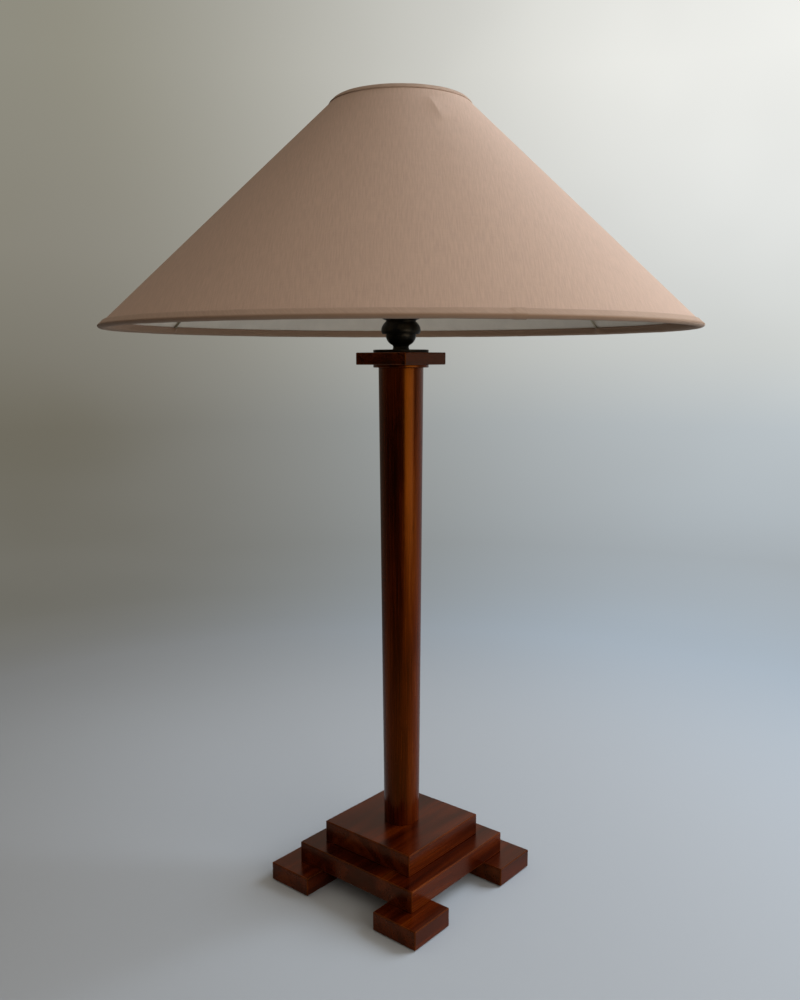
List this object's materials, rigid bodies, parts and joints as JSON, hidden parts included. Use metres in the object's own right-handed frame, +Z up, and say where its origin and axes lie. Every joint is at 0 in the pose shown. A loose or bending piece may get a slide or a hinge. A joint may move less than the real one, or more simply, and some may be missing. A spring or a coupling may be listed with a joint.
{
  "type": "column table lamp",
  "caption": "Table lamp with a stepped square wooden base on corner feet, a tapered round column, a dark metal lampholder, a harp and a wide conical fabric shade.",
  "frame": {"origin": "on the surface that the lamp stands on, under the column's axis", "axes": "+Z up along the column, +X and +Y along the sides of the square base"},
  "size_m": [0.614, 0.614, 0.8561],
  "materials": {
    "mahogany": "polished",
    "felt": "matte",
    "bronze": "dark patina, satin",
    "harp_brass": "satin lacquered",
    "bright_brass": "bright",
    "zinc_steel": "zinc plated",
    "black_plastic": "moulded",
    "porcelain": "glazed",
    "shade_fabric": "slub weave",
    "shade_lining": "satin",
    "trim_fabric": "bias binding",
    "frame_wire": "satin",
    "opal_glass": "opal",
    "cap_aluminium": "bright"
  },
  "bodies": {
    "stand": {"felt_pads": "felt", "foot_screws": "zinc_steel", "foot_front_left": "mahogany", "foot_front_right": "mahogany", "foot_back_left": "mahogany", "foot_back_right": "mahogany", "plinth": "mahogany", "block": "mahogany", "column": "mahogany", "collar": "mahogany", "abacus": "mahogany", "block_screws": "zinc_steel", "plate": "bronze", "threaded_tube": "zinc_steel", "tube_washer": "zinc_steel", "tube_nut": "zinc_steel", "cable_bush": "black_plastic", "holder_cap": "bronze", "union_ring": "bronze", "holder_shell": "bronze", "shade_ring_lower": "bronze", "shade_ring_upper": "bronze", "insulator_core": "porcelain", "screw_shell": "bright_brass", "centre_contact": "bright_brass", "terminals": "bright_brass", "terminal_screws": "zinc_steel", "mouth_ring": "porcelain", "harp_saddle": "harp_brass", "harp_bow": "harp_brass", "harp_seat": "harp_brass"},
    "sleeve_left": {"harp_sleeve_left": "harp_brass"},
    "sleeve_right": {"harp_sleeve_right": "harp_brass"},
    "shade": {"shade_cover": "shade_fabric", "shade_lining": "shade_lining", "bottom_trim": "trim_fabric", "top_trim": "trim_fabric", "bottom_ring": "frame_wire", "top_ring": "frame_wire", "struts": "frame_wire", "spider": "frame_wire"},
    "finial": {"finial": "bronze"},
    "bulb": {"bulb_glass": "opal_glass", "bulb_cap": "cap_aluminium", "bulb_contact": "cap_aluminium", "bulb_insulator": "black_plastic"}
  },
  "joints": [
    {"name": "shade_turn", "type": "hinge", "parent": "stand", "child": "shade", "pos_m": [0, 0, 0.8335], "axis": [0, 0, 1], "continuous": true},
    {"name": "finial_turn", "type": "hinge", "parent": "stand", "child": "finial", "pos_m": [0, 0, 0.8351], "axis": [0, 0, 1], "continuous": true},
    {"name": "bulb_turn", "type": "hinge", "parent": "stand", "child": "bulb", "pos_m": [0, 0, 0.63], "axis": [0, 0, 1], "continuous": true},
    {"name": "sleeve_left_lift", "type": "slide", "parent": "stand", "child": "sleeve_left", "axis": [0, 0, 1], "range_m": [0, 0.012]},
    {"name": "sleeve_right_lift", "type": "slide", "parent": "stand", "child": "sleeve_right", "axis": [0, 0, 1], "range_m": [0, 0.012]}
  ]
}
